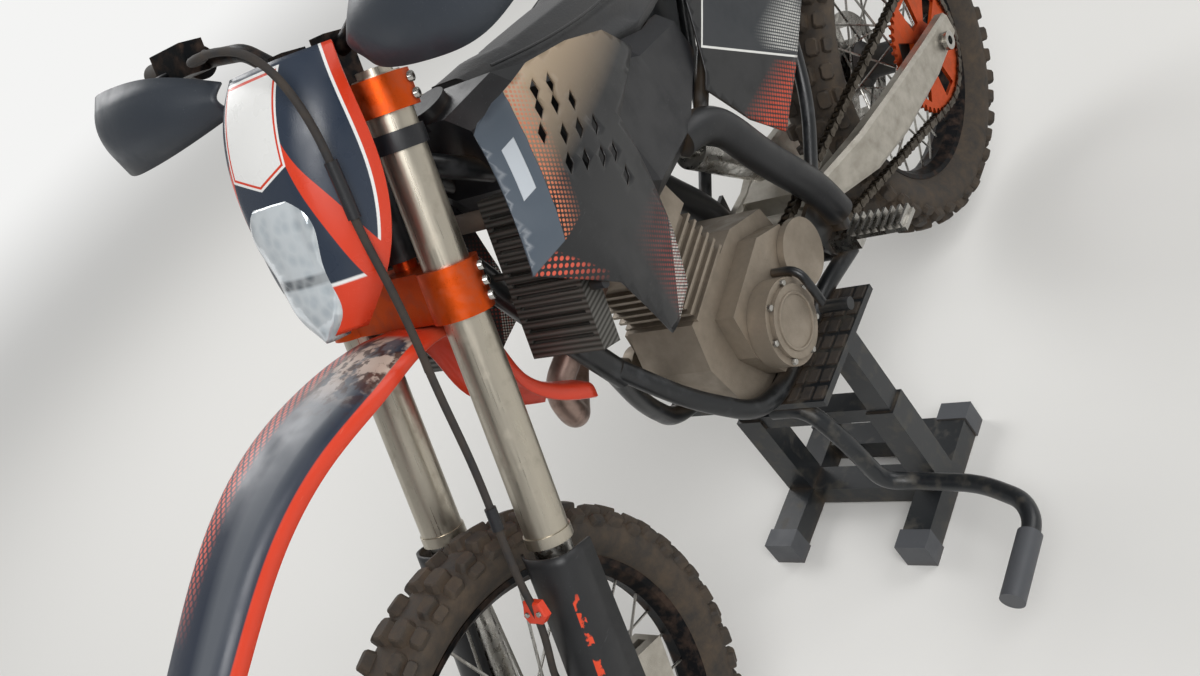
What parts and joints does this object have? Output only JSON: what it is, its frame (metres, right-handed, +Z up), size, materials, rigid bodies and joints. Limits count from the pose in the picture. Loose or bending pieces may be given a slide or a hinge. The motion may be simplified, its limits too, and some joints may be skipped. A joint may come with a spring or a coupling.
{
  "type": "off-road motorcycle on a lifting stand",
  "caption": "Off-road enduro motorcycle with long fork, knobbly tyres, hand shields and headlight mask, held upright on a tubular lifting stand under its cradle.",
  "frame": {"origin": "middle of the overall box, on the floor that the stand rests on", "axes": "+X towards the front wheel, +Y to the rider's left, +Z up"},
  "size_m": [2.2471, 0.846, 1.3743],
  "materials": {
    "black_frame": "satin",
    "black_plastic": "satin",
    "cap_rubber": "matte",
    "cast_alloy": "cast",
    "champagne_tube": "brushed",
    "chrome_tube": "polished",
    "engine_alloy": "cast",
    "graphic_plastic": "gloss",
    "header_steel": "heat tinted",
    "lens": "clear",
    "orange_anodised": "satin",
    "orange_plastic": "gloss",
    "radiator": "matte",
    "red_lens": "gloss",
    "rim": "anodised",
    "rubber": "matte",
    "seat": "grained",
    "stand": "gloss",
    "steel": "brushed",
    "tyre": "dusty"
  },
  "bodies": {
    "chassis": {"frame": "black_frame", "frame_guards": "black_plastic", "subframe": "cast_alloy", "engine": "engine_alloy", "engine_covers": "engine_alloy", "exhaust_header": "header_steel", "silencer": "steel", "radiators": "radiator", "radiator_hose": "rubber", "fuel_tank": "black_plastic", "seat": "seat", "shroud_left": "graphic_plastic", "shroud_right": "graphic_plastic", "side_panel_left": "graphic_plastic", "side_panel_right": "graphic_plastic", "rear_fender": "black_plastic", "tail_light": "red_lens", "swingarm": "cast_alloy", "shock": "steel", "chain": "steel", "front_sprocket": "steel", "rear_axle": "steel", "rear_brake_caliper": "steel", "footpegs": "steel", "shift_lever": "steel", "brake_pedal": "steel", "stand_base": "stand", "stand_caps": "cap_rubber", "stand_posts": "stand", "stand_platform": "stand", "stand_lever": "stand", "stand_grip": "cap_rubber"},
    "steering": {"lower_clamp": "orange_anodised", "upper_clamp": "orange_anodised", "fork_outer_tubes": "champagne_tube", "fork_lower_legs": "chrome_tube", "fork_guards": "black_plastic", "front_axle": "steel", "handlebar": "orange_anodised", "grips": "rubber", "bar_controls": "steel", "handguards": "black_plastic", "headlight_mask": "orange_plastic", "headlight_lens": "lens", "front_fender": "orange_plastic", "front_brake_caliper": "steel"},
    "front_wheel": {"front_tyre": "tyre", "front_rim": "rim", "front_hub": "orange_anodised", "front_spokes": "steel", "front_brake_disc": "steel"},
    "rear_wheel": {"rear_tyre": "tyre", "rear_rim": "rim", "rear_hub": "orange_anodised", "rear_spokes": "steel", "rear_brake_disc": "steel", "rear_sprocket": "orange_anodised"}
  },
  "joints": [
    {"name": "steering_head", "type": "hinge", "parent": "chassis", "child": "steering", "pos_m": [0.36127, 0, 1.07916], "axis": [-0.4462, 0, 0.8949], "range_deg": [-40, 40]},
    {"name": "front_wheel_spin", "type": "hinge", "parent": "steering", "child": "front_wheel", "pos_m": [0.7505, 0, 0.424], "axis": [0, 1, 0], "continuous": true},
    {"name": "rear_wheel_spin", "type": "hinge", "parent": "chassis", "child": "rear_wheel", "pos_m": [-0.7315, 0, 0.412], "axis": [0, 1, 0], "continuous": true}
  ]
}
